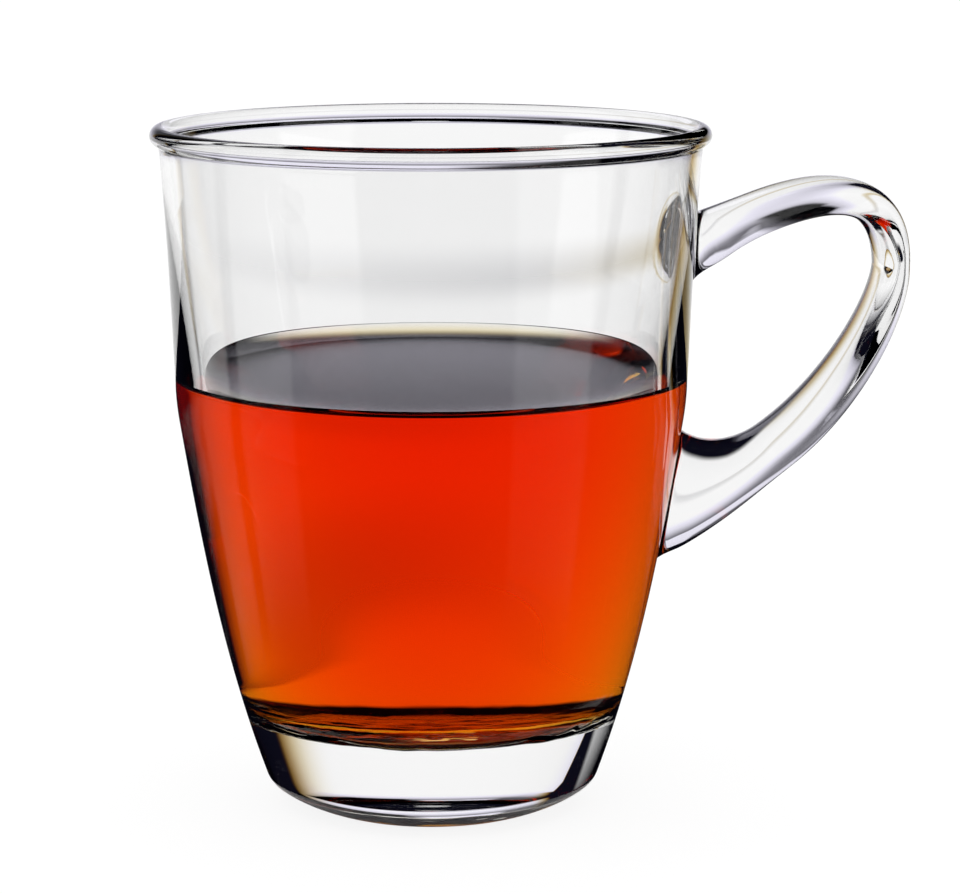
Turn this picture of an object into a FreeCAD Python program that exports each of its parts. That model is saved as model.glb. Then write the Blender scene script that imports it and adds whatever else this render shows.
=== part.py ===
"""A pressed-glass mug with one ear-shaped handle, two thirds full of clear tea.

Millimetres, +Z up. The origin is on the mug's axis in the plane it stands on,
and the handle points along +X. Two solids: the mug (body and handle are one
piece of glass) and the tea, which fills the mug up to its level and touches the
glass all over its side and bottom.
"""
import FreeCAD, Part
import math
import os

from FreeCAD import Vector

# ---- driving dimensions -------------------------------------------------------

# Foot and base
FOOT_RADIUS = 18.0            # outer edge of the flat ring that it stands on
FOOT_RING_WIDTH = 3.4         # width of that ring
PUNT_DEPTH = 1.4              # how far the middle of the underside is hollowed
BASE_RADIUS = 25.5            # widest point of the curved underside
BASE_RISE = 3.9               # height of that point
BASE_BULGE = 0.35             # how far the underside bows out of a straight cone
BASE_EDGE_EASE = 1.0          # how far from the corner its easing starts, each way

# Outside of the wall: a bowed lower part, a soft shoulder, a nearly straight top
SHOULDER_RADIUS = 39.0
SHOULDER_HEIGHT = 62.4
SHOULDER_EASE = 2.6           # how far from the shoulder its easing starts, each way
NECK_RADIUS = 41.4            # the wall's line where it would meet the bead's middle
BASE_LEAN = 0.36              # change of radius per mm of height, just above the base
UNDER_SHOULDER_LEAN = 0.165
OVER_SHOULDER_LEAN = 0.045
NECK_LEAN = 0.09

# Rim: a round bead that stands out from the wall
MUG_HEIGHT = 105.0
BEAD_RADIUS = 1.5
BEAD_OVERHANG = 1.2           # how far the bead stands out from the wall under it
BEAD_CREASE_ROUND = 0.5

# Inside of the wall
FLOOR_HEIGHT = 14.3           # top of the thick glass bottom
FLOOR_ROUND = 8.0             # rounding between the floor and the wall
ROUND_FULLNESS = 0.6          # 0.55 is a quarter ellipse, more is fuller
LOW_WALL = 5.6                # wall thickness where that rounding ends
LOW_WALL_HEIGHT = 23.0
SHOULDER_WALL = 4.1           # wall thickness at the shoulder
SHOULDER_INNER_LEAN = 0.165
LOW_INNER_LEAN = 0.27
RIM_INNER_LEAN = 0.05

# Tea
TEA_LEVEL = 66.9

# Handle: an ear in the XZ plane, with a section that is taller and wider at its roots
HANDLE_REACH = 72.9           # from the mug's axis to the middle of the ear's outermost part
HANDLE_REACH_HEIGHT = 81.9
UPPER_ROOT_HEIGHT = 85.3      # where the middle line leaves the wall
UPPER_ROOT_RISE = 24.0        # angle at which it leaves, degrees above level
UPPER_ROOT_PULL = 3.0         # these pulls set how far the middle line keeps its direction
UPPER_REACH_PULL = 22.0
LOWER_REACH_PULL = 9.2
LOWER_ROOT_PULL = 20.5
LOWER_ROOT_HEIGHT = 48.1
LOWER_ROOT_RISE = -2.5        # angle at which it leaves the wall, degrees above level
ARM_WIDTH = 11.6              # size of the section across the ear's plane
ROOT_WIDTH = 13.6
UPPER_ROOT_THICKNESS = 9.6    # sizes of the section in the ear's plane
UPPER_ARM_THICKNESS = 6.8
REACH_THICKNESS = 4.7
LOWER_ARM_THICKNESS = 8.3
LOWER_ROOT_THICKNESS = 22.4
UPPER_ROOT_LENGTH = 12.6      # how far from the wall each root has become the plain arm
LOWER_ROOT_LENGTH = 19.2
SECTION_SQUARENESS = 2.4      # 2 is an ellipse, more is boxier
ROOT_FILLET = 2.8             # rounding where the handle meets the wall

SECTIONS_PER_ARM = 9          # sections that each half of the handle is lofted through
SECTION_POINTS = 20           # points on each section's closed curve
ROOT_BURIAL = 8.0             # how far the handle is run in before it is trimmed in the wall

AXIS = Vector(0, 0, 1)
ORIGIN = Vector(0, 0, 0)


# ---- outlines of the turned body, in the XZ plane --------------------------------

def bezier(*poles):
    curve = Part.BezierCurve()
    curve.setPoles(list(poles))
    return curve.toShape()


def bow(low, low_lean, high, high_lean):
    """A curve from low to high that leaves each end at its own lean."""
    third = (high.z - low.z) / 3.0
    low_pole = low + Vector(low_lean * third, 0, third)
    high_pole = high - Vector(high_lean * third, 0, third)
    return bezier(low, low_pole, high_pole, high)


def arc(start, middle, end):
    return Part.Arc(start, middle, end).toShape()


def line(start, end):
    return Part.LineSegment(start, end).toShape()


def dome(height, edge):
    """An arc from the axis at a height out to edge, its centre on the axis."""
    rise = height - edge.z
    radius = (edge.x ** 2 + rise ** 2) / (2.0 * rise)
    half = edge.x / 2.0
    half_height = height - radius + math.sqrt(radius ** 2 - half ** 2)
    return arc(Vector(0, 0, height), Vector(half, 0, half_height), edge)


def bead_centre():
    """Centre of the round bead, whose top is the mug's full height."""
    radius = NECK_RADIUS + BEAD_OVERHANG - BEAD_RADIUS
    return Vector(radius, 0, MUG_HEIGHT - BEAD_RADIUS)


def crease():
    """The rounding under the bead: where it leaves the wall, its middle, where it ends."""
    centre = bead_centre()
    up = Vector(NECK_LEAN, 0, 1).normalize()
    out = Vector(up.z, 0, -up.x)
    reach = BEAD_RADIUS + BEAD_CREASE_ROUND
    start = Vector(NECK_RADIUS, 0, centre.z) + out * BEAD_CREASE_ROUND
    offset = start - centre
    along = offset.dot(up)
    drop = along + math.sqrt(along ** 2 - offset.dot(offset) + reach ** 2)
    middle = start - up * drop
    on_wall = middle - out * BEAD_CREASE_ROUND
    on_bead = centre + (middle - centre) * (BEAD_RADIUS / reach)
    toward = (on_wall + on_bead) * 0.5 - middle
    return on_wall, middle + toward.normalize() * BEAD_CREASE_ROUND, on_bead


def outer_radius(height):
    """Radius of the outside of the wall at a height, between base and bead."""
    level = line(Vector(0, 0, height), Vector(2 * NECK_RADIUS, 0, height))
    for edge in outer_wall_edges():
        gap, points, _ = edge.distToShape(level)
        if gap < 1e-6:
            return points[0][0].x
    raise ValueError("no wall at this height")


def shoulder_ends():
    """The ends of the shoulder's easing, below and above its corner."""
    corner = Vector(SHOULDER_RADIUS, 0, SHOULDER_HEIGHT)
    below = corner - Vector(UNDER_SHOULDER_LEAN, 0, 1) * SHOULDER_EASE
    above = corner + Vector(OVER_SHOULDER_LEAN, 0, 1) * SHOULDER_EASE
    return below, corner, above


def base_corner():
    return Vector(BASE_RADIUS, 0, BASE_RISE)


def above_base_edge():
    return base_corner() + Vector(BASE_LEAN, 0, 1) * BASE_EDGE_EASE


def outer_wall_edges():
    """The outside of the wall: bowed lower part, eased shoulder, upper part."""
    below, corner, above = shoulder_ends()
    return [
        bow(above_base_edge(), BASE_LEAN, below, UNDER_SHOULDER_LEAN),
        bezier(below, corner, above),
        bow(above, OVER_SHOULDER_LEAN, crease()[0], NECK_LEAN),
    ]


def foot_edges():
    """Hollowed underside, flat standing ring, curved slope and eased base edge."""
    ring_inside = Vector(FOOT_RADIUS - FOOT_RING_WIDTH, 0, 0)
    ring_outside = Vector(FOOT_RADIUS, 0, 0)
    corner = base_corner()
    slope = corner - ring_outside
    outward = Vector(slope.z, 0, -slope.x).normalize()
    slope_pole = (ring_outside + corner) * 0.5 + outward * BASE_BULGE * 2
    slope_end = corner - (corner - slope_pole).normalize() * BASE_EDGE_EASE
    return [
        dome(PUNT_DEPTH, ring_inside),
        line(ring_inside, ring_outside),
        bezier(ring_outside, slope_pole, slope_end),
        bezier(slope_end, corner, above_base_edge()),
    ]


def rim_inside():
    """Where the bead runs into the inside of the wall."""
    return bead_centre() - Vector(BEAD_RADIUS, 0, 0)


def floor_middle():
    return Vector(0, 0, FLOOR_HEIGHT)


def inner_edges():
    """Inside of the mug, from the bead's inner side down to the middle of the floor."""
    shoulder = Vector(SHOULDER_RADIUS - SHOULDER_WALL, 0, SHOULDER_HEIGHT)
    low = Vector(outer_radius(LOW_WALL_HEIGHT) - LOW_WALL, 0, LOW_WALL_HEIGHT)
    floor_edge = Vector(low.x - FLOOR_ROUND, 0, FLOOR_HEIGHT)
    floor_pole = floor_edge + Vector(FLOOR_ROUND * ROUND_FULLNESS, 0, 0)
    drop = (LOW_WALL_HEIGHT - FLOOR_HEIGHT) * ROUND_FULLNESS
    wall_pole = low - Vector(LOW_INNER_LEAN, 0, 1) * drop
    return [
        bow(shoulder, SHOULDER_INNER_LEAN, rim_inside(), RIM_INNER_LEAN),
        bow(low, LOW_INNER_LEAN, shoulder, SHOULDER_INNER_LEAN),
        bezier(floor_edge, floor_pole, wall_pole, low),
        line(floor_edge, floor_middle()),
    ]


def bead_edges():
    """The bead from the wall's outside, over the top, to the wall's inside."""
    centre = bead_centre()
    on_wall, in_crease, on_bead = crease()
    top = centre + AXIS * BEAD_RADIUS
    outer_half = centre + Vector(BEAD_RADIUS, 0, 0)
    inner_half = centre + Vector(-BEAD_RADIUS, 0, BEAD_RADIUS) / math.sqrt(2.0)
    return [
        arc(on_wall, in_crease, on_bead),
        arc(on_bead, outer_half, top),
        arc(top, inner_half, rim_inside()),
    ]


def turned(edges):
    """The solid that an outline sweeps about the axis, its seam away from the handle."""
    face = Part.Face(Part.Wire(Part.__sortEdges__(edges)))
    solid = face.revolve(ORIGIN, AXIS, 360)
    solid.rotate(ORIGIN, AXIS, 180)
    return solid


# ---- body, cavity and tea ---------------------------------------------------------

def make_body():
    """The turned glass."""
    axis_line = line(floor_middle(), Vector(0, 0, PUNT_DEPTH))
    outside = foot_edges() + outer_wall_edges() + bead_edges()
    return turned(outside + inner_edges() + [axis_line])


def make_cavity():
    """All the space inside the mug, closed flat at the height of the bead's middle."""
    lid_middle = Vector(0, 0, bead_centre().z)
    lid = line(rim_inside(), lid_middle)
    return turned(inner_edges() + [lid, line(lid_middle, floor_middle())])


def make_tea():
    """The part of the cavity that lies below the tea's level."""
    below = Part.makeCylinder(2 * NECK_RADIUS, TEA_LEVEL)
    return make_cavity().common(below)


# ---- handle -------------------------------------------------------------------------

def direction(degrees):
    angle = math.radians(degrees)
    return Vector(math.cos(angle), 0, math.sin(angle))


def middle_line():
    """The ear's middle line as two curves that meet at its outermost point."""
    upper_root = Vector(outer_radius(UPPER_ROOT_HEIGHT), 0, UPPER_ROOT_HEIGHT)
    lower_root = Vector(outer_radius(LOWER_ROOT_HEIGHT), 0, LOWER_ROOT_HEIGHT)
    reach = Vector(HANDLE_REACH, 0, HANDLE_REACH_HEIGHT)
    upper = Part.BezierCurve()
    upper.setPoles([
        upper_root,
        upper_root + direction(UPPER_ROOT_RISE) * UPPER_ROOT_PULL,
        reach + AXIS * UPPER_REACH_PULL,
        reach,
    ])
    lower = Part.BezierCurve()
    lower.setPoles([
        lower_root,
        lower_root + direction(LOWER_ROOT_RISE) * LOWER_ROOT_PULL,
        reach - AXIS * LOWER_REACH_PULL,
        reach,
    ])
    return upper.toShape(), lower.toShape()


def section(place, along, thickness, width):
    """A closed rounded outline across the middle line."""
    outward = Vector(along.z, 0, -along.x)
    power = 2.0 / SECTION_SQUARENESS
    points = []
    for step in range(SECTION_POINTS):
        angle = 2 * math.pi * step / SECTION_POINTS
        cosine = math.cos(angle)
        sine = math.sin(angle)
        across = math.copysign(abs(cosine) ** power, cosine) * thickness / 2.0
        sideways = math.copysign(abs(sine) ** power, sine) * width / 2.0
        points.append(place + outward * across + Vector(0, sideways, 0))
    curve = Part.BSplineCurve()
    curve.interpolate(Points=points, PeriodicFlag=True)
    return Part.Wire(curve.toShape())


def blend(start, end, share):
    """A value that eases from start to end as share goes from 0 to 1."""
    share = min(max(share, 0.0), 1.0)
    return start + (end - start) * (1 - (1 - share) ** 2)


def arm_sections(curve, root, arm, length, turn):
    """Sections from inside the wall to the outermost point, along one curve.

    turn is 1 where the loft runs with the curve and -1 where it runs against it.
    """
    first = curve.valueAt(curve.FirstParameter)
    leaving = curve.tangentAt(curve.FirstParameter)
    buried = section(first - leaving * ROOT_BURIAL, leaving * turn, root, ROOT_WIDTH)
    wires = [buried]
    for step in range(SECTIONS_PER_ARM):
        gone = curve.Length * step / (SECTIONS_PER_ARM - 1)
        share = step / (SECTIONS_PER_ARM - 1)
        where = curve.getParameterByLength(gone)
        plain = arm + (REACH_THICKNESS - arm) * share ** 2
        thickness = blend(root, plain, gone / length)
        width = blend(ROOT_WIDTH, ARM_WIDTH, gone / length)
        along = curve.tangentAt(where) * turn
        wires.append(section(curve.valueAt(where), along, thickness, width))
    return wires


def make_handle():
    """The ear, lofted whole and trimmed so that it ends within the wall."""
    upper, lower = middle_line()
    down = arm_sections(
        upper, UPPER_ROOT_THICKNESS, UPPER_ARM_THICKNESS, UPPER_ROOT_LENGTH, 1)
    back = arm_sections(
        lower, LOWER_ROOT_THICKNESS, LOWER_ARM_THICKNESS, LOWER_ROOT_LENGTH, -1)
    ear = Part.makeLoft(down + back[-2::-1], True, False)
    return ear.cut(make_core())


def make_core():
    """A plain turned solid whose side lies in the middle of the wall's glass."""
    heights = [LOW_WALL_HEIGHT, SHOULDER_HEIGHT]
    inside = [outer_radius(LOW_WALL_HEIGHT) - LOW_WALL, SHOULDER_RADIUS - SHOULDER_WALL]
    points = []
    for height, inner in zip(heights, inside):
        points.append(Vector((inner + outer_radius(height)) / 2.0, 0, height))
    neck = rim_inside()
    points.append(Vector((neck.x + NECK_RADIUS) / 2.0, 0, neck.z))
    foot = Vector(0, 0, heights[0])
    head = Vector(0, 0, neck.z)
    corners = [foot] + points + [head, foot]
    edges = [line(start, end) for start, end in zip(corners, corners[1:])]
    return turned(edges)


def root_edges(mug):
    """The edges where the handle's skin meets the outside of the wall."""
    found = []
    for edge in mug.Edges:
        box = edge.BoundBox
        middle = edge.valueAt((edge.FirstParameter + edge.LastParameter) / 2.0)
        if box.XMin < 0 or box.ZMin < LOW_WALL_HEIGHT or box.ZMax > crease()[0].z:
            continue
        if abs(math.hypot(middle.x, middle.y) - outer_radius(middle.z)) < 0.05:
            found.append(edge)
    return found


def make_mug():
    """Body and handle as one piece of glass, eased where they meet."""
    mug = make_body().fuse(make_handle()).removeSplitter()
    return mug.makeFillet(ROOT_FILLET, root_edges(mug))


def write(name, shape):
    solids = shape.Solids
    print(name, len(solids), "solid", "valid" if shape.isValid() else "NOT VALID",
          "volume %.1f cm3" % (shape.Volume / 1000.0), shape.BoundBox)
    solids[0].exportStep("parts/%s.step" % name)


os.makedirs("parts", exist_ok=True)
write("mug", make_mug())
write("tea", make_tea())
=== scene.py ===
"""A pressed-glass mug of clear tea on a white table, with dark cards of painted shade, seen only in
the glass, standing round it.

The mug's body and its handle are one closed mesh of glass. The tea is a closed mesh
that reaches a little way into the glass, so that no film of air lies between them.
Metres, +Z up, the mug's axis on Z and its handle towards +X.
"""

import math

import bmesh
import bpy
import numpy as np
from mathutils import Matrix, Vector, geometry, noise


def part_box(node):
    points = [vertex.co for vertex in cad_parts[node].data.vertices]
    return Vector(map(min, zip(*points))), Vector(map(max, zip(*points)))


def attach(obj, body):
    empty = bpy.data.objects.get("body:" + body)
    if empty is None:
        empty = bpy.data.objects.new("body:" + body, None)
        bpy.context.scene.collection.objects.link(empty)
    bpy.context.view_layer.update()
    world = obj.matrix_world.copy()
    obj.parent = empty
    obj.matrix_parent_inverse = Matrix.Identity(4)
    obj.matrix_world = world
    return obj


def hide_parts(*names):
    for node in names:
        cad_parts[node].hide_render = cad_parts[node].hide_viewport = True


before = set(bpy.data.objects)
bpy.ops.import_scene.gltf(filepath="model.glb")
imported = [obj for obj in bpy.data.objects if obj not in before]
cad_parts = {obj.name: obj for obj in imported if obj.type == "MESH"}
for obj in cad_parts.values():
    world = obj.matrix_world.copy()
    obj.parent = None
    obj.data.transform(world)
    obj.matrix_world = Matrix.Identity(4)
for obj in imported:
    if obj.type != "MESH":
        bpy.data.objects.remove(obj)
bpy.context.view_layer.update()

MM = 0.001

# ---- sizes taken from the frame -------------------------------------------------

# How far the meshes stay inside the CAD model's box.
INSIDE_BOX = 0.04 * MM
mug_low, mug_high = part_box("mug")
tea_low, tea_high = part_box("tea")
MUG_HEIGHT = mug_high.z
BEAD_OUTSIDE = -mug_low.x - INSIDE_BOX
TEA_LEVEL = tea_high.z
FLOOR_HEIGHT = tea_low.z

# ---- sizes of the glass ----------------------------------------------------------

# A lean is how far an outline goes outwards for each metre that it rises.
FOOT_RADIUS = 18.0 * MM
FOOT_RING_WIDTH = 3.4 * MM
PUNT_DEPTH = 1.4 * MM
BASE_RADIUS = 25.5 * MM
BASE_RISE = 3.9 * MM
BASE_BULGE = 0.35 * MM
BASE_EDGE_EASE = 1.0 * MM
SHOULDER_RADIUS = 39.0 * MM
SHOULDER_HEIGHT = 62.4 * MM
SHOULDER_EASE = 2.6 * MM
BASE_LEAN = 0.36
UNDER_SHOULDER_LEAN = 0.165
OVER_SHOULDER_LEAN = 0.045
NECK_LEAN = 0.09
BEAD_RADIUS = 1.5 * MM
BEAD_OVERHANG = 1.2 * MM
BEAD_CREASE_ROUND = 0.5 * MM
NECK_RADIUS = BEAD_OUTSIDE - BEAD_OVERHANG
FLOOR_ROUND = 8.0 * MM
ROUND_FULLNESS = 0.6
LOW_WALL = 5.6 * MM
LOW_WALL_HEIGHT = 23.0 * MM
SHOULDER_WALL = 4.1 * MM
SHOULDER_INNER_LEAN = 0.165
LOW_INNER_LEAN = 0.27
RIM_INNER_LEAN = 0.05

# The waves of the cup's floor, which die out upwards, and the finer ones on them.
RIPPLE_TOP = FLOOR_HEIGHT + 6.0 * MM
RIPPLE_LENGTH = 5.0 * MM
RIPPLE_HEIGHT = 0.2 * MM
FINE_RIPPLES_PER_RIPPLE = 2.3
FINE_RIPPLE_SHARE = 0.5

# How finely each stretch of the outline is divided, and the circle that it sweeps.
TURN_STEPS = 288
PUNT_STEPS = 10
EASE_STEPS = 6
UNDERSIDE_STEPS = 10
BELOW_SHOULDER_STEPS = 44
ABOVE_SHOULDER_STEPS = 28
CREASE_STEPS = 5
BEAD_STEPS = 28
INNER_UPPER_STEPS = 26
INNER_LOWER_STEPS = 30
FLOOR_ROUND_STEPS = 18
FLOOR_STEPS = 28
WALL_TABLE_STEPS = 400

# A point of an outline nearer to the axis than this is on it.
ON_AXIS = 1e-6

# ---- sizes of the handle ---------------------------------------------------------

REACH_HEIGHT = 81.9 * MM
REACH_THICKNESS = 4.7 * MM
HANDLE_REACH = mug_high.x - REACH_THICKNESS / 2 - INSIDE_BOX
ARM_WIDTH = 11.6 * MM
ROOT_WIDTH = 13.6 * MM
SQUARENESS = 2.4
# Where each arm leaves the wall, which way it sets off, how far it and the outermost
# point pull the middle line their own way, the section's thickness at the wall and in
# the arm, the length over which the first becomes the second, which way round the arm
# runs, how far along it the flare into the wall starts, and how far the flare spreads
# over the wall at its sides and at its top.
UPPER_ARM = dict(height=85.3 * MM, rise=24.0, root_pull=3.0 * MM, reach_pull=22.0 * MM,
                 root=9.6 * MM, arm=6.8 * MM, length=12.6 * MM, way=1,
                 start=4.6 * MM, spread=1.3 * MM, top_spread=4.0 * MM)
LOWER_ARM = dict(height=48.1 * MM, rise=-2.5, root_pull=20.5 * MM, reach_pull=-9.2 * MM,
                 root=22.4 * MM, arm=8.3 * MM, length=19.2 * MM, way=-1,
                 start=2.4 * MM, spread=0.9 * MM, top_spread=1.8 * MM)
FLARE_PULL = 1.1

MIDDLE_LINE_STEPS = 600
ARM_STEPS = 64
SECTION_STEPS = 48
FLARE_STEPS = 8
# Distances along the middle line over which its direction, and the flare's, is taken.
DIRECTION_REACH = 0.2 * MM
FLARE_LOOK_AHEAD = 0.3 * MM
# How far from the arm the wall is looked for, and how often that stretch is halved.
WALL_SEARCH = 25 * MM
WALL_SEARCH_HALVINGS = 40

# The wall round a root is unrolled at this radius to be patched. The patch reaches past
# the root by its margin, and keeps the grid's points that are clear of the root's edge.
UNROLL_RADIUS = 40 * MM
PATCH_MARGIN = 2.0 * MM
PATCH_CLEARANCE = 0.35 * MM
PATCH_MERGE = 1e-9

# ---- sizes of the tea ------------------------------------------------------------

TEA_OVERLAP = 0.15 * MM
TOP_STEPS = 40
TOP_CROWDING = 3
MENISCUS_RISE = 2.0 * MM
MENISCUS_REACH = 2.6 * MM
STILL_LEVEL = TEA_LEVEL - MENISCUS_RISE
# Glass lower than the floor by more than the first, or nearer to the outside of the wall
# than the second, isn't taken for the inside of the cup.
UNDER_FLOOR = 0.1 * MM
THINNEST_WALL = 2 * MM


# ---- outlines, as radius and height ----------------------------------------------

def bezier(poles, steps):
    """Points along a Bezier curve, without its start."""
    points = []
    for step in range(1, steps + 1):
        level = list(poles)
        while len(level) > 1:
            level = [a.lerp(b, step / steps) for a, b in zip(level, level[1:])]
        points.append(level[0])
    return points


def flat(x, z):
    """A point of an outline, or a way in its plane."""
    return Vector((x, z))


def bow(low, low_lean, high, high_lean, steps):
    """Points along a smooth curve with a given lean at each end, without its start."""
    third = (high.y - low.y) / 3
    poles = [low, low + flat(low_lean, 1) * third, high - flat(high_lean, 1) * third, high]
    return bezier(poles, steps)


def arc(centre, radius, start, end, steps):
    """Points on an arc from one angle to another, in degrees, without its start."""
    points = []
    for step in range(1, steps + 1):
        angle = math.radians(start + (end - start) * step / steps)
        points.append(centre + flat(math.cos(angle), math.sin(angle)) * radius)
    return points


def degrees_of(vector):
    return math.degrees(math.atan2(vector.y, vector.x))


def bead_centre():
    return flat(BEAD_OUTSIDE - BEAD_RADIUS, MUG_HEIGHT - BEAD_RADIUS)


def crease():
    """The small round under the bead: its end on the wall, its centre, its end on the bead."""
    centre = bead_centre()
    up = flat(NECK_LEAN, 1).normalized()
    out = flat(up.y, -up.x)
    reach = BEAD_RADIUS + BEAD_CREASE_ROUND
    start = flat(NECK_RADIUS, centre.y) + out * BEAD_CREASE_ROUND
    offset = start - centre
    along = offset.dot(up)
    drop = along + math.sqrt(along ** 2 - offset.dot(offset) + reach ** 2)
    middle = start - up * drop
    on_wall = middle - out * BEAD_CREASE_ROUND
    on_bead = centre + (middle - centre) * (BEAD_RADIUS / reach)
    return on_wall, middle, on_bead


def underside():
    """From the middle of the underside over the foot ring and round the base's edge."""
    ring_inside = flat(FOOT_RADIUS - FOOT_RING_WIDTH, 0)
    ring_outside = flat(FOOT_RADIUS, 0)
    radius = (ring_inside.x ** 2 + PUNT_DEPTH ** 2) / (2 * PUNT_DEPTH)
    centre = flat(0, PUNT_DEPTH - radius)
    points = [flat(0, PUNT_DEPTH)]
    points += arc(centre, radius, 90, degrees_of(ring_inside - centre), PUNT_STEPS)
    points += bezier([ring_inside, ring_outside], EASE_STEPS)
    corner = flat(BASE_RADIUS, BASE_RISE)
    slope = corner - ring_outside
    outward = flat(slope.y, -slope.x).normalized()
    pole = (ring_outside + corner) / 2 + outward * BASE_BULGE * 2
    slope_end = corner - (corner - pole).normalized() * BASE_EDGE_EASE
    points += bezier([ring_outside, pole, slope_end], UNDERSIDE_STEPS)
    wall_start = corner + flat(BASE_LEAN, 1) * BASE_EDGE_EASE
    points += bezier([slope_end, corner, wall_start], EASE_STEPS)
    return points


def outer_wall(steps_below=BELOW_SHOULDER_STEPS, steps_above=ABOVE_SHOULDER_STEPS):
    """From the base's edge up to the crease under the bead, without the start."""
    start = flat(BASE_RADIUS, BASE_RISE) + flat(BASE_LEAN, 1) * BASE_EDGE_EASE
    corner = flat(SHOULDER_RADIUS, SHOULDER_HEIGHT)
    below = corner - flat(UNDER_SHOULDER_LEAN, 1) * SHOULDER_EASE
    above = corner + flat(OVER_SHOULDER_LEAN, 1) * SHOULDER_EASE
    points = bow(start, BASE_LEAN, below, UNDER_SHOULDER_LEAN, steps_below)
    points += bezier([below, corner, above], EASE_STEPS)
    points += bow(above, OVER_SHOULDER_LEAN, crease()[0], NECK_LEAN, steps_above)
    return points


WALL_TABLE = outer_wall(WALL_TABLE_STEPS, WALL_TABLE_STEPS)
WALL_HEIGHTS = np.array([point.y for point in WALL_TABLE])
WALL_RADII = np.array([point.x for point in WALL_TABLE])


def outer_radius(height):
    """Radius of the outside of the wall at a height."""
    return float(np.interp(height, WALL_HEIGHTS, WALL_RADII))


def rim():
    """Through the crease and over the bead to the inside of the wall."""
    on_wall, middle, on_bead = crease()
    centre = bead_centre()
    points = arc(middle, BEAD_CREASE_ROUND, degrees_of(on_wall - middle),
                 degrees_of(on_bead - middle), CREASE_STEPS)
    points += arc(centre, BEAD_RADIUS, degrees_of(on_bead - centre), 180, BEAD_STEPS)
    return points


def inside():
    """From the bead down the inside of the wall to the middle of the floor."""
    top = bead_centre() - flat(BEAD_RADIUS, 0)
    shoulder = flat(SHOULDER_RADIUS - SHOULDER_WALL, SHOULDER_HEIGHT)
    low = flat(outer_radius(LOW_WALL_HEIGHT) - LOW_WALL, LOW_WALL_HEIGHT)
    floor_edge = flat(low.x - FLOOR_ROUND, FLOOR_HEIGHT)
    floor_pole = floor_edge + flat(FLOOR_ROUND * ROUND_FULLNESS, 0)
    drop = (LOW_WALL_HEIGHT - FLOOR_HEIGHT) * ROUND_FULLNESS
    wall_pole = low - flat(LOW_INNER_LEAN, 1) * drop
    upper = bow(shoulder, SHOULDER_INNER_LEAN, top, RIM_INNER_LEAN, INNER_UPPER_STEPS)
    lower = bow(low, LOW_INNER_LEAN, shoulder, SHOULDER_INNER_LEAN, INNER_LOWER_STEPS)
    points = upper[-2::-1] + lower[::-1] + [low]
    points += bezier([low, wall_pole, floor_pole, floor_edge], FLOOR_ROUND_STEPS)
    points += bezier([floor_edge, flat(0, FLOOR_HEIGHT)], FLOOR_STEPS)
    return points


# ---- meshes ------------------------------------------------------------------------

def add_to_scene(name, data):
    thing = bpy.data.objects.new(name, data)
    bpy.context.scene.collection.objects.link(thing)
    return thing


def make_piece(name, vertices, faces):
    """A smooth closed mesh whose faces all look outwards."""
    mesh = bpy.data.meshes.new(name)
    mesh.from_pydata(vertices, [], faces)
    mesh.validate()
    work = bmesh.new()
    work.from_mesh(mesh)
    bmesh.ops.recalc_face_normals(work, faces=work.faces)
    work.to_mesh(mesh)
    work.free()
    mesh.shade_smooth()
    return add_to_scene(name, mesh)


def turned_point(point, step):
    """Where a point of an outline is after some steps about the axis."""
    angle = 2 * math.pi * step / TURN_STEPS
    return Vector((point.x * math.cos(angle), point.x * math.sin(angle), point.y))


def turned_rings(outline):
    """The points that an outline sweeps about the axis, and their numbers, ring by ring."""
    vertices, rows = [], []
    for point in outline:
        if point.x < ON_AXIS:
            rows.append([len(vertices)] * TURN_STEPS)
            vertices.append(Vector((0, 0, point.y)))
        else:
            rows.append([len(vertices) + step for step in range(TURN_STEPS)])
            vertices.extend(turned_point(point, step) for step in range(TURN_STEPS))
    return vertices, rows


def in_hole(row, step, holes):
    """Whether the face that starts at this ring and step belongs to one of the holes."""
    for bottom, top, first, last in holes:
        around = (step - first) % TURN_STEPS
        if bottom <= row < top and around < last - first:
            return True
    return False


def turned_faces(rows, holes=()):
    """The faces between neighbouring rings, apart from those in holes."""
    faces = []
    for row, (here, there) in enumerate(zip(rows, rows[1:])):
        for step in range(TURN_STEPS):
            following = (step + 1) % TURN_STEPS
            corners = [here[step], here[following], there[following], there[step]]
            if not in_hole(row, step, holes):
                # A ring on the axis is one point, so its faces have three corners.
                faces.append(list(dict.fromkeys(corners)))
    return faces


def banded(rings, start=0):
    """Points of closed rings, and the faces from each ring to the next, numbered from start."""
    steps = len(rings[0])
    faces = []
    for row in range(len(rings) - 1):
        for i in range(steps):
            a = start + row * steps + i
            b = start + row * steps + (i + 1) % steps
            faces.append((a, b, b + steps, a + steps))
    return [point for ring in rings for point in ring], faces


def rippled(point):
    """Where the pressing's faint waves move a point of the cup's floor and rounding."""
    share = min(max((RIPPLE_TOP - point.z) / (RIPPLE_TOP - FLOOR_HEIGHT), 0), 1)
    wave = noise.noise(Vector((point.x, point.y, 0)) / RIPPLE_LENGTH)
    place = Vector((point.x, point.y, RIPPLE_TOP)) / RIPPLE_LENGTH
    fine = noise.noise(place * FINE_RIPPLES_PER_RIPPLE)
    rise = RIPPLE_HEIGHT * share * (wave + FINE_RIPPLE_SHARE * fine)
    return point + Vector((0, 0, rise))


def under_tea(point):
    """Whether a point of the glass is on the inside, below the tea's edge."""
    within = FLOOR_HEIGHT - UNDER_FLOOR < point.z < TEA_LEVEL
    return within and math.hypot(point.x, point.y) < outer_radius(point.z) - THINNEST_WALL


# ---- handle ------------------------------------------------------------------------

def squared(value):
    """A sine or cosine, changed so that it draws a section with fuller corners."""
    return math.copysign(abs(value) ** (2 / SQUARENESS), value)


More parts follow.
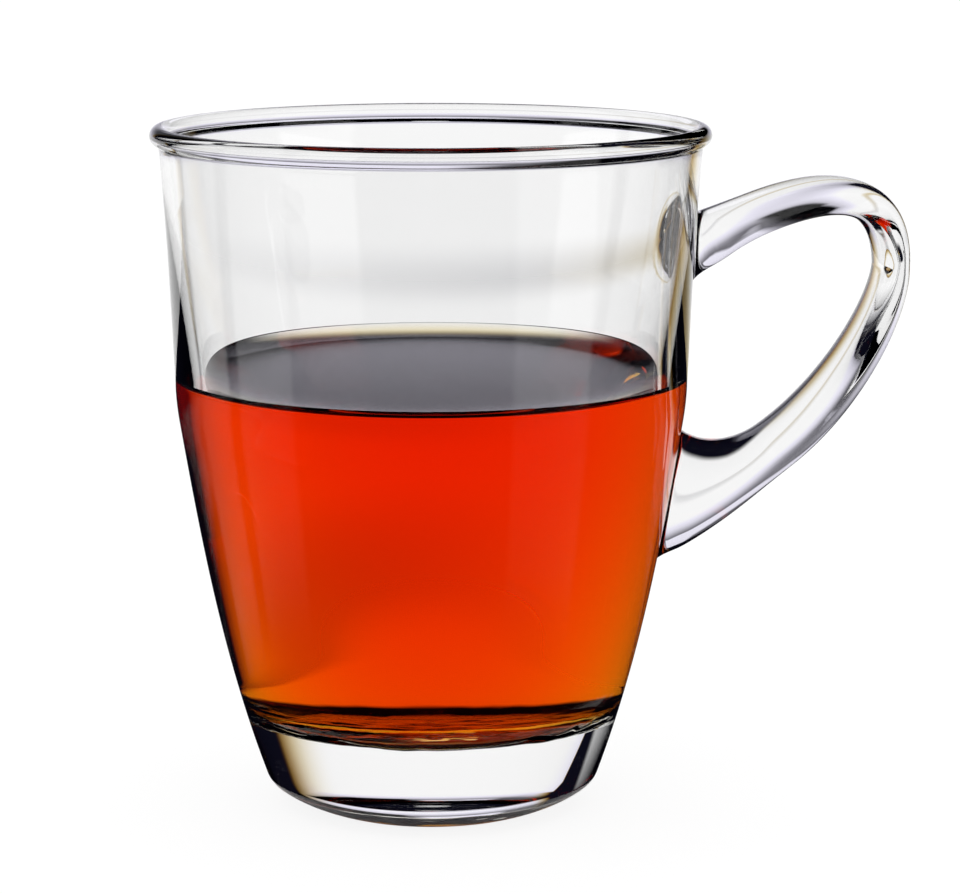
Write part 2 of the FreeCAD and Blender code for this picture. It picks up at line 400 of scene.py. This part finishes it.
class Arm:
    """Half of the handle, from the wall to its outermost point."""

    def __init__(self, height, rise, root_pull, reach_pull, root, arm, length, way,
                 start, spread, top_spread):
        self.root, self.arm, self.length, self.way = root, arm, length, way
        self.start, self.spread, self.top_spread = start, spread, top_spread
        on_wall = flat(outer_radius(height), height)
        reach = flat(HANDLE_REACH, REACH_HEIGHT)
        angle = math.radians(rise)
        leaving = flat(math.cos(angle), math.sin(angle))
        poles = [on_wall, on_wall + leaving * root_pull, reach + flat(0, reach_pull), reach]
        self.points = [on_wall] + bezier(poles, MIDDLE_LINE_STEPS)
        steps = [(b - a).length for a, b in zip(self.points, self.points[1:])]
        self.gone = np.concatenate([[0], np.cumsum(steps)])
        self.whole = self.gone[-1]

    def at(self, gone):
        """The point of the middle line this far along it."""
        x = np.interp(gone, self.gone, [p.x for p in self.points])
        z = np.interp(gone, self.gone, [p.y for p in self.points])
        return flat(float(x), float(z))

    def section(self, gone):
        """The closed outline round the middle line this far along it."""
        low = max(gone - DIRECTION_REACH, 0)
        high = min(gone + DIRECTION_REACH, self.whole)
        along = (self.at(high) - self.at(low)).normalized() * self.way
        place = self.at(gone)
        share = gone / self.whole
        plain = self.arm + (REACH_THICKNESS - self.arm) * share ** 2
        swell = (1 - min(gone / self.length, 1)) ** 2
        thickness = plain + (self.root - plain) * swell
        width = ARM_WIDTH + (ROOT_WIDTH - ARM_WIDTH) * swell
        outward = flat(along.y, -along.x)
        points = []
        for step in range(SECTION_STEPS):
            angle = 2 * math.pi * step / SECTION_STEPS
            spot = place + outward * (squared(math.cos(angle)) * thickness / 2)
            points.append(Vector((spot.x, squared(math.sin(angle)) * width / 2, spot.y)))
        return points

    def sections(self):
        """Outlines from the end of the flare to the outermost point."""
        left = self.whole - self.start
        return [self.section(self.start + left * step / ARM_STEPS) for step in range(ARM_STEPS + 1)]


def on_wall(angle, height):
    """The point of the outside of the wall at an angle about the axis and a height."""
    radius = outer_radius(height)
    return Vector((radius * math.cos(angle), radius * math.sin(angle), height))


def to_wall(start, heading):
    """The point where a straight way from start meets the outside of the wall."""
    near, far = 0.0, WALL_SEARCH
    for _ in range(WALL_SEARCH_HALVINGS):
        middle = (near + far) / 2
        spot = start + heading * middle
        if math.hypot(spot.x, spot.y) > outer_radius(spot.z):
            near = middle
        else:
            far = middle
    return start + heading * near


def eased(start, leaving, end, arriving, s):
    """A point on the smooth curve with a given way at each end, s from 0 to 1 along it."""
    return (start * (2 * s ** 3 - 3 * s ** 2 + 1) + leaving * (s ** 3 - 2 * s ** 2 + s)
            + end * (3 * s ** 2 - 2 * s ** 3) + arriving * (s ** 3 - s ** 2))


def flare(arm):
    """Outlines that ease the arm's section into the wall, the last one lying on the wall."""
    outer = arm.section(arm.start)
    further = arm.section(arm.start + FLARE_LOOK_AHEAD)
    feet = [to_wall(near, (near - beyond).normalized()) for near, beyond in zip(outer, further)]
    middle = sum(foot.z for foot in feet) / len(feet)
    rings = [[] for _ in range(FLARE_STEPS)]
    for near, beyond, foot in zip(outer, further, feet):
        angle = math.atan2(foot.y, foot.x)
        radius = outer_radius(foot.z)
        away = flat(angle * radius, foot.z - middle).normalized()
        spread = arm.spread + (arm.top_spread - arm.spread) * max(away.y, 0) ** 2
        end = on_wall(angle + away.x * spread / radius, foot.z + away.y * spread)
        pull = (end - near).length * FLARE_PULL
        leaving = (near - beyond).normalized() * pull
        arriving = (end - foot).normalized() * pull
        for step, ring in enumerate(rings, 1):
            ring.append(eased(near, leaving, end, arriving, step / FLARE_STEPS))
    return rings


def make_tube():
    """The handle's outlines, from the upper one on the wall to the lower one."""
    upper, lower = Arm(**UPPER_ARM), Arm(**LOWER_ARM)
    return flare(upper)[::-1] + upper.sections()[:-1] + lower.sections()[::-1] + flare(lower)


def apart(spot, outline):
    """How far a point is from an outline: above 0 outside it and below 0 inside."""
    inside_it = False
    nearest = math.inf
    for a, b in zip(outline, outline[1:] + outline[:1]):
        if (a.y > spot.y) != (b.y > spot.y):
            if spot.x < a.x + (b.x - a.x) * (spot.y - a.y) / (b.y - a.y):
                inside_it = not inside_it
        along = b - a
        share = min(max((spot - a).dot(along) / along.dot(along), 0), 1)
        nearest = min(nearest, (spot - a - along * share).length)
    return -nearest if inside_it else nearest


def patch(outline, start, rings, wall, rows):
    """The wall's faces round a root, and the hole in the turned grid that they fill.

    outline is where the root meets the wall, its points numbered from start. wall is the
    range of the rings that are the wall's, and rows has the numbers of every ring's points.
    """
    arounds = [math.atan2(p.y, p.x) * UNROLL_RADIUS for p in outline]
    heights = [p.z for p in outline]
    per_step = 2 * math.pi * UNROLL_RADIUS / TURN_STEPS
    first = math.floor((min(arounds) - PATCH_MARGIN) / per_step)
    last = math.ceil((max(arounds) + PATCH_MARGIN) / per_step)
    low, high = min(heights) - PATCH_MARGIN, max(heights) + PATCH_MARGIN
    near_rows = [row for row in wall if low < rings[row].y < high]
    bottom, top = min(near_rows), max(near_rows)
    edge = [flat(around, height) for around, height in zip(arounds, heights)]
    points, numbers = [], []
    for row in range(bottom, top + 1):
        for step in range(first, last + 1):
            spot = flat(step * per_step, rings[row].y)
            border = row in (bottom, top) or step in (first, last)
            if border or apart(spot, edge) > PATCH_CLEARANCE:
                points.append(spot)
                numbers.append(rows[row][step % TURN_STEPS])
    edge_start = len(points)
    points += edge
    numbers += [start + i for i in range(len(edge))]
    links = [(edge_start + i, edge_start + (i + 1) % len(edge)) for i in range(len(edge))]
    result = geometry.delaunay_2d_cdt(points, links, [], 0, PATCH_MERGE)
    found, triangles, origins = result[0], result[2], result[3]
    faces = []
    for triangle in triangles:
        middle = sum((found[i] for i in triangle), flat(0, 0)) / 3
        if apart(middle, edge) > 0:
            faces.append([numbers[origins[i][0]] for i in triangle])
    return faces, (bottom, top, first, last)


# ---- the glass mug and the tea -------------------------------------------------------

def without_unused(vertices, faces):
    """The vertices that faces use, and the faces with their new numbers."""
    used = sorted({i for face in faces for i in face})
    number = {old: new for new, old in enumerate(used)}
    return [vertices[i] for i in used], [[number[i] for i in face] for face in faces]


def make_mug():
    below, wall = underside(), outer_wall()
    rings = below + wall + rim() + inside()
    wall_rows = range(len(below), len(below) + len(wall))
    vertices, rows = turned_rings(rings)
    tube = make_tube()
    tube_start = len(vertices)
    tube_last = tube_start + (len(tube) - 1) * SECTION_STEPS
    upper_faces, upper_hole = patch(tube[0], tube_start, rings, wall_rows, rows)
    lower_faces, lower_hole = patch(tube[-1], tube_last, rings, wall_rows, rows)
    tube_vertices, tube_faces = banded(tube, tube_start)
    vertices += tube_vertices
    faces = turned_faces(rows, [upper_hole, lower_hole])
    faces += tube_faces + upper_faces + lower_faces
    vertices = [rippled(point) if under_tea(point) else point for point in vertices]
    return make_piece("glass_mug", *without_unused(vertices, faces))


def make_tea():
    """The tea, whose sides reach into the glass and whose top rises to meet it."""
    outline = inside()
    depths = [-point.y for point in outline]
    contact = float(np.interp(-TEA_LEVEL, depths, [point.x for point in outline]))
    wetted = [flat(contact, TEA_LEVEL)] + [point for point in outline if point.y < TEA_LEVEL]
    sides = []
    for i, point in enumerate(wetted):
        along = (wetted[min(i + 1, len(wetted) - 1)] - wetted[max(i - 1, 0)]).normalized()
        outwards = flat(-along.y, along.x) if point.x > ON_AXIS else flat(0, -1)
        sides.append(point + outwards * TEA_OVERLAP)
    top = []
    for step in range(TOP_STEPS, 0, -1):
        from_edge = sides[0].x * (step / TOP_STEPS) ** TOP_CROWDING
        rise = MENISCUS_RISE * math.exp(-from_edge / MENISCUS_REACH)
        top.append(flat(sides[0].x - from_edge, STILL_LEVEL + rise))
    vertices, rows = turned_rings(top + sides)
    vertices = [rippled(point) if point.z < RIPPLE_TOP else point for point in vertices]
    return make_piece("tea_filling", vertices, turned_faces(rows))


# ---- materials ---------------------------------------------------------------------

GLASS_IOR = 1.5
TEA_IOR = 1.333
TEA_COLOUR = (0.992, 0.757, 0.0, 1)
TEA_STRENGTH = 250.0
# The shares of their plain reflection that the tea and the wetted glass keep.
TEA_REFLECTING = 0.1
WETTED_REFLECTING = 0.04
WHITE = (1, 1, 1, 1)


def clear_material(name, ior, reflecting=1.0):
    """Clear stuff. Less reflecting is for a face with glass on one side and tea on the other."""
    material = bpy.data.materials.new(name)
    material.use_nodes = True
    shader = material.node_tree.nodes["Principled BSDF"]
    shader.inputs["Base Color"].default_value = WHITE
    shader.inputs["Roughness"].default_value = 0.0
    shader.inputs["IOR"].default_value = ior
    shader.inputs["Specular Tint"].default_value = (reflecting, reflecting, reflecting, 1)
    shader.inputs["Transmission Weight"].default_value = 1.0
    return material


def tea_material():
    """Tea takes its colour from its depth."""
    material = clear_material("tea", TEA_IOR, TEA_REFLECTING)
    tree = material.node_tree
    depth = tree.nodes.new("ShaderNodeVolumeAbsorption")
    depth.inputs["Color"].default_value = TEA_COLOUR
    depth.inputs["Density"].default_value = TEA_STRENGTH
    tree.links.new(depth.outputs["Volume"], tree.nodes["Material Output"].inputs["Volume"])
    return material


def wet(mug):
    """Gives the inside of the glass that the tea touches the mug's second material."""
    for face in mug.data.polygons:
        if under_tea(face.center):
            face.material_index = 1


# ---- surroundings ------------------------------------------------------------------

# The table and the world are white. Clear glass with white all round it has no edges, so
# painted shade is put round the mug. Dark cards, which stand for a dark room, stand round it
# and lie on the table, and a soft light panel, a glowing sheet that lights nothing, stands
# close behind it. Cards and panel are seen only in and through the glass and the tea, not by
# the camera, and take no light from anything. The standing cards have openings, through which
# the white shows in the glass from some other directions. A bearing is the way one looks,
# in degrees, 0 along +Y and growing towards -X. The cards and the panel stand still.
MAIN_BEARING = -10.0
# The bearings where each opening begins and ends, and how far its soft edges reach.
OPENINGS = [(41.0, 64.0, 4.0), (76.0, 104.0, 4.0), (-152.0, -118.0, 4.0)]
# The openings close upwards from the first height to the second, in degrees.
OPENING_TOP = (4.0, 25.0)
# The colour of the cards is painted shade: a near black that stands for a dark room round the mug,
# seen only in the glass.
PAINTED_SHADE_COLOUR = (0.004, 0.004, 0.010, 1)
CARD_DISTANCE = 1.5
CARD_RING_STEPS = 96
CARD_BANDS = 24
TABLE_CARD_HEIGHT = 0.2 * MM
TABLE_CARD_START = 27 * MM
# The table shows in the openings from this far out.
TABLE_SEEN_FROM = (60 * MM, 90 * MM)

PANEL_DISTANCE = 400 * MM
PANEL_HALF_WIDTH = 600 * MM
PANEL_HEIGHT = 400 * MM
PANEL_LEVEL = 1.0
COOL_WHITE = (0.9, 0.88, 1.0, 1)

# The lit field is the panel and the table in front of it. In each pair, an effect is
# absent at the first number and full at the second. The numbers are metres to the right,
# to the back or above the table, but those of the field's two sides are slopes: how far
# past its half width, over how far to the back.
FIELD_HALF_WIDTH = 0.04
FIELD_LEFT = (0.55, 0.36)
FIELD_RIGHT = (0.92, 0.28)
FIELD_WIDENING = -0.55
# Where the light falls off evenly to the right: its level in the middle, and its loss.
SLOPING_LEVEL = 0.82
SLOPING_LOSS = -1.6
# The cream tint at the sides. Red and blue are powers of the level: the plain power, and
# how much the tint adds to it.
WARM_RIGHT = (0.02, 0.14)
WARM_LEFT = (-0.12, -0.20)
RED_POWER = (1.0, -0.3)
BLUE_POWER = (0.95, 0.8)
# On the table.
FIELD_START = (0.09, 0.12)
TABLE_SLOPING = (0.33, 0.40)
TABLE_WIDENED = 0.55
TABLE_GLOW = 0.05
# On the panel: above PANEL_FULL the light sinks to PANEL_TOP_LEVEL, apart from a bright
# patch, which has its left and right and the reach of its soft edges, and a dark corner.
PANEL_SLOPING = (0.024, 0.0)
PANEL_WIDENED = (0.112, 0.100)
PANEL_FULL = (0.20, 0.095)
PANEL_TOP_LEVEL = 0.15
PANEL_COOL = (0.08, 0.11)
BRIGHT_HEIGHT = (0.18, 0.20)
BRIGHT_ACROSS = (-0.10, 0.0, 0.04)
DARK_HEIGHT = (0.14, 0.16)
DARK_ACROSS = (0.03, 0.05)
# The panel is clear at the first level and solid from the second.
PANEL_SOLID = (0.0, 0.2)

# The table's colour, and the colour and glow that the camera sees, which add up to white.
FLOOR_HALF = 3.0
TABLE_WHITE = 0.95
SEEN_WHITE = 0.16
SEEN_GLOW = 0.88

# A Mix node's sockets for its factor, its two colours and the colour that comes out.
MIX_FACTOR, MIX_FIRST, MIX_SECOND, MIX_RESULT = 0, 6, 7, 2


class Maths:
    """Short ways to make math nodes in one node tree."""

    def __init__(self, tree):
        self.tree = tree

    def node(self, kind, **options):
        node = self.tree.nodes.new(kind)
        for name, value in options.items():
            setattr(node, name, value)
        return node

    def link(self, value, socket):
        """Joins a node's output to a socket, or sets the socket to a value."""
        if isinstance(value, bpy.types.NodeSocket):
            self.tree.links.new(value, socket)
        else:
            socket.default_value = value

    def calc(self, operation, *values, clamp=False):
        node = self.node("ShaderNodeMath", operation=operation, use_clamp=clamp)
        for value, socket in zip(values, node.inputs):
            self.link(value, socket)
        return node.outputs[0]

    def times(self, *values):
        """The product of two or more values."""
        product = values[0]
        for value in values[1:]:
            product = self.calc("MULTIPLY", product, value)
        return product

    def parts(self, vector):
        """A vector's x, y and z."""
        split = self.node("ShaderNodeSeparateXYZ")
        self.link(vector, split.inputs[0])
        return split.outputs

    def fade(self, value, start, end):
        """0 at start and 1 at end, eased, whichever is larger."""
        node = self.node("ShaderNodeMapRange", interpolation_type="SMOOTHSTEP", clamp=True)
        self.link(value, node.inputs["Value"])
        self.link(min(start, end), node.inputs["From Min"])
        self.link(max(start, end), node.inputs["From Max"])
        self.link(0.0 if start < end else 1.0, node.inputs["To Min"])
        self.link(1.0 if start < end else 0.0, node.inputs["To Max"])
        return node.outputs["Result"]

    def between(self, value, low, high, soft):
        """1 from low to high, and 0 beyond soft outside them."""
        return self.times(self.fade(value, low - soft, low), self.fade(value, high + soft, high))

    def blend(self, share, first, second):
        """A value between two others."""
        step = self.calc("SUBTRACT", second, first)
        return self.calc("MULTIPLY_ADD", step, share, first)

    def mix(self, share, first, second, kind="MIX"):
        """A colour between two others, or their product. A number stands for a grey."""
        node = self.node("ShaderNodeMix", data_type="RGBA", blend_type=kind)
        self.link(share, node.inputs[MIX_FACTOR])
        for value, place in ((first, MIX_FIRST), (second, MIX_SECOND)):
            if isinstance(value, float):
                value = (value, value, value, 1)
            self.link(value, node.inputs[place])
        return node.outputs[MIX_RESULT]

    def transparent(self, colour=WHITE):
        shader = self.node("ShaderNodeBsdfTransparent")
        self.link(colour, shader.inputs["Color"])
        return shader.outputs[0]

    def diffuse(self, colour):
        shader = self.node("ShaderNodeBsdfDiffuse")
        self.link(colour, shader.inputs["Color"])
        return shader.outputs[0]

    def emission(self, colour, strength):
        shader = self.node("ShaderNodeEmission")
        self.link(colour, shader.inputs["Color"])
        self.link(strength, shader.inputs["Strength"])
        return shader.outputs[0]

    def both(self, first, second):
        """Two shaders added."""
        shader = self.node("ShaderNodeAddShader")
        self.link(first, shader.inputs[0])
        self.link(second, shader.inputs[1])
        return shader.outputs[0]

    def either(self, share, first, second):
        """Two shaders mixed."""
        shader = self.node("ShaderNodeMixShader")
        for value, socket in zip((share, first, second), shader.inputs):
            self.link(value, socket)
        return shader.outputs[0]

    def ray(self, kind):
        return self.node("ShaderNodeLightPath").outputs[kind]

    def position(self):
        """The x, y and z of the place on the surface, in the scene."""
        return self.parts(self.node("ShaderNodeNewGeometry").outputs["Position"])

    def finish(self, shader):
        self.link(shader, self.tree.nodes["Material Output"].inputs["Surface"])


def stage_material(name):
    """A new material with no shader yet, and the maths for its nodes."""
    material = bpy.data.materials.new(name)
    material.use_nodes = True
    material.cycles.emission_sampling = "NONE"
    material.node_tree.nodes.remove(material.node_tree.nodes["Principled BSDF"])
    return material, Maths(material.node_tree)


def stage_piece(name, vertices, faces, material):
    mesh = bpy.data.meshes.new(name)
    mesh.from_pydata(vertices, [], faces)
    mesh.materials.append(material)
    piece = add_to_scene(name, mesh)
    return piece


def show_in_glass_only(piece):
    piece.visible_camera = False
    piece.visible_diffuse = False
    piece.visible_shadow = False
    piece.visible_volume_scatter = False


def in_openings(maths, x, y):
    """1 where the place x, y stands in an opening between the cards, and 0 elsewhere."""
    angle = maths.calc("ARCTAN2", maths.times(x, -1.0), y)
    bearing = maths.times(angle, 180 / math.pi)
    total = 0.0
    for low, high, soft in OPENINGS:
        total = maths.calc("MAXIMUM", total, maths.between(bearing, low, high, soft))
    return total


def lit_field(maths, across, away, sloping, widened):
    """The level of the lit field at a place, and its colour.

    across and away are distances to the right and to the back in the main view. Where
    sloping is 1 the light falls off evenly to the right, and where it is 0 it ends at an
    edge. Where widened is 1 the light reaches furthest to the left.
    """
    leftwards = maths.calc("SUBTRACT", maths.times(across, -1.0), FIELD_HALF_WIDTH)
    past_left = maths.calc("DIVIDE", leftwards, away)
    past_right = maths.calc("DIVIDE", maths.calc("SUBTRACT", across, FIELD_HALF_WIDTH), away)
    left = maths.fade(maths.calc("MULTIPLY_ADD", widened, FIELD_WIDENING, past_left), *FIELD_LEFT)
    right = maths.fade(past_right, *FIELD_RIGHT)
    even = maths.calc("MULTIPLY_ADD", across, SLOPING_LOSS, SLOPING_LEVEL, clamp=True)
    level = maths.times(left, maths.blend(sloping, right, even))
    warm = maths.calc("MAXIMUM", maths.fade(across, *WARM_RIGHT), maths.fade(across, *WARM_LEFT))
    colour = maths.node("ShaderNodeCombineColor")
    for (plain, change), socket in ((RED_POWER, "Red"), (BLUE_POWER, "Blue")):
        power = maths.calc("MULTIPLY_ADD", warm, change, plain)
        maths.link(maths.calc("POWER", level, power), colour.inputs[socket])
    maths.link(level, colour.inputs["Green"])
    return level, colour.outputs[0]


def standing_shade_card_material():
    """Painted shade: a dark card, seen only in the glass, with openings which only ways through the
    glass find.
    """
    material, maths = stage_material("standing_shade_cards")
    x, y, z = maths.position()
    rise = maths.calc("ARCSINE", maths.calc("DIVIDE", z, CARD_DISTANCE))
    height = maths.times(rise, 180 / math.pi)
    top = maths.fade(height, OPENING_TOP[1], OPENING_TOP[0])
    gap = maths.times(in_openings(maths, x, y), top, maths.ray("Is Transmission Ray"))
    maths.finish(maths.transparent(maths.mix(gap, PAINTED_SHADE_COLOUR, WHITE)))
    return material


def table_shade_card_material():
    """Painted shade on the table: a dark card, cut away in the same openings. In front of the panel
    it shows the table through the lit field's tint and adds a faint glow, a painted pool of light.
    """
    material, maths = stage_material("table_shade_cards")
    x, y, _ = maths.position()
    squares = maths.calc("ADD", maths.times(x, x), maths.times(y, y))
    start = maths.fade(maths.calc("SQRT", squares), *TABLE_SEEN_FROM)
    turned = math.radians(MAIN_BEARING)
    right_x, right_y = math.cos(turned), math.sin(turned)
    across = maths.calc("ADD", maths.times(x, right_x), maths.times(y, right_y))
    away = maths.calc("ADD", maths.times(x, -right_y), maths.times(y, right_x))
    sloping = maths.fade(away, *TABLE_SLOPING)
    colour = lit_field(maths, across, away, sloping, TABLE_WIDENED)[1]
    through = maths.ray("Is Transmission Ray")
    behind = maths.times(maths.fade(away, *FIELD_START), through)
    field = maths.mix(behind, PAINTED_SHADE_COLOUR, colour)
    gap = maths.times(start, in_openings(maths, x, y), through)
    card = maths.transparent(maths.mix(gap, field, WHITE))
    # The glow is painted light: with the lit field's tint it paints a pool of light on the table in
    # front of the panel.
    maths.finish(maths.both(card, maths.emission(colour, maths.times(behind, TABLE_GLOW))))
    return material


def panel_material():
    """Light that is soft at its edges and dimmer above the mug's height."""
    material, maths = stage_material("light_panel")
    across, _, height = maths.parts(maths.node("ShaderNodeTexCoord").outputs["Object"])
    sloping, widened = maths.fade(height, *PANEL_SLOPING), maths.fade(height, *PANEL_WIDENED)
    level, colour = lit_field(maths, across, PANEL_DISTANCE, sloping, widened)
    full = maths.fade(height, *PANEL_FULL)
    strength = maths.calc("MULTIPLY_ADD", full, 1 - PANEL_TOP_LEVEL, PANEL_TOP_LEVEL)
    bright = maths.times(maths.fade(height, *BRIGHT_HEIGHT), maths.between(across, *BRIGHT_ACROSS))
    strength = maths.calc("MAXIMUM", strength, bright)
    dark = maths.times(maths.fade(across, *DARK_ACROSS), maths.fade(height, *DARK_HEIGHT))
    strength = maths.times(strength, maths.calc("SUBTRACT", 1.0, dark))
    cool = maths.mix(maths.fade(height, *PANEL_COOL), WHITE, COOL_WHITE)
    tinted = maths.mix(1.0, colour, cool, kind="MULTIPLY")
    glow = maths.emission(tinted, maths.times(strength, PANEL_LEVEL))
    maths.finish(maths.either(maths.fade(level, *PANEL_SOLID), maths.transparent(), glow))
    return material


def floor_material():
    """The white table. The camera sees it lit from within, so that its shadow is faint."""
    material, maths = stage_material("floor")
    seen = maths.ray("Is Camera Ray")
    diffuse = maths.diffuse(maths.mix(seen, TABLE_WHITE, SEEN_WHITE))
    maths.finish(maths.both(diffuse, maths.emission(WHITE, maths.times(seen, SEEN_GLOW))))
    return material


def ring_of(radius, height):
    turns = [2 * math.pi * i / CARD_RING_STEPS for i in range(CARD_RING_STEPS)]
    return [(radius * math.cos(turn), radius * math.sin(turn), height) for turn in turns]


# The painted shade: a dome of dark cards round the mug and a dark ring lying on the table, both
# seen only in the glass.
def make_shade_cards():
    tilts = [math.pi / 2 * band / CARD_BANDS for band in range(CARD_BANDS)]
    dome = [ring_of(CARD_DISTANCE * math.cos(t), CARD_DISTANCE * math.sin(t)) for t in tilts]
    radii = (TABLE_CARD_START, CARD_DISTANCE)
    table = [ring_of(radius, TABLE_CARD_HEIGHT) for radius in radii]
    show_in_glass_only(stage_piece("standing_shade_cards", *banded(dome), standing_shade_card_material()))
    show_in_glass_only(stage_piece("table_shade_cards", *banded(table), table_shade_card_material()))


def make_panel():
    left, right = -PANEL_HALF_WIDTH, PANEL_HALF_WIDTH
    corners = [(left, 0, 0), (right, 0, 0), (right, 0, PANEL_HEIGHT), (left, 0, PANEL_HEIGHT)]
    panel = stage_piece("light_panel", corners, [(0, 1, 2, 3)], panel_material())
    show_in_glass_only(panel)
    turned = math.radians(MAIN_BEARING)
    panel.rotation_euler.z = turned
    panel.location = (-math.sin(turned) * PANEL_DISTANCE, math.cos(turned) * PANEL_DISTANCE,
                      2 * TABLE_CARD_HEIGHT)


def make_floor():
    half = FLOOR_HALF
    corners = [(-half, -half, 0), (half, -half, 0), (half, half, 0), (-half, half, 0)]
    stage_piece("floor", corners, [(0, 1, 2, 3)], floor_material())


def make_world():
    world = bpy.data.worlds.new("studio")
    bpy.context.scene.world = world
    world.use_nodes = True
    world.node_tree.nodes["Background"].inputs["Color"].default_value = WHITE


# ---- camera ------------------------------------------------------------------------

# The lens and sensor are in millimetres. The camera looks down by the first angle, and
# turns to the right of the mug's axis by the second, in degrees.
LENS = 134.1
SENSOR_WIDTH = 36.0
CAMERA_DISTANCE = 0.542
CAMERA_HEIGHT = 0.1499
LOOKING_DOWN = 9.9
LOOKING_RIGHT = 0.785


def make_camera():
    data = bpy.data.cameras.new("camera")
    data.lens = LENS
    data.sensor_width = SENSOR_WIDTH
    camera = add_to_scene("camera", data)
    turned = math.radians(MAIN_BEARING)
    camera.location = (math.sin(turned) * CAMERA_DISTANCE, -math.cos(turned) * CAMERA_DISTANCE,
                       CAMERA_HEIGHT)
    camera.rotation_euler = (math.pi / 2 - math.radians(LOOKING_DOWN), 0,
                             turned - math.radians(LOOKING_RIGHT))
    bpy.context.scene.camera = camera


make_camera()
make_world()
make_floor()
make_shade_cards()
make_panel()
mug = make_mug()
mug.data.materials.append(clear_material("clear_glass", GLASS_IOR))
mug.data.materials.append(clear_material("wetted_glass", GLASS_IOR, WETTED_REFLECTING))
wet(mug)
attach(mug, "root")
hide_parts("mug")
tea = make_tea()
tea.data.materials.append(tea_material())
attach(tea, "root")
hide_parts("tea")

scene = bpy.context.scene
scene.view_settings.view_transform = "Standard"
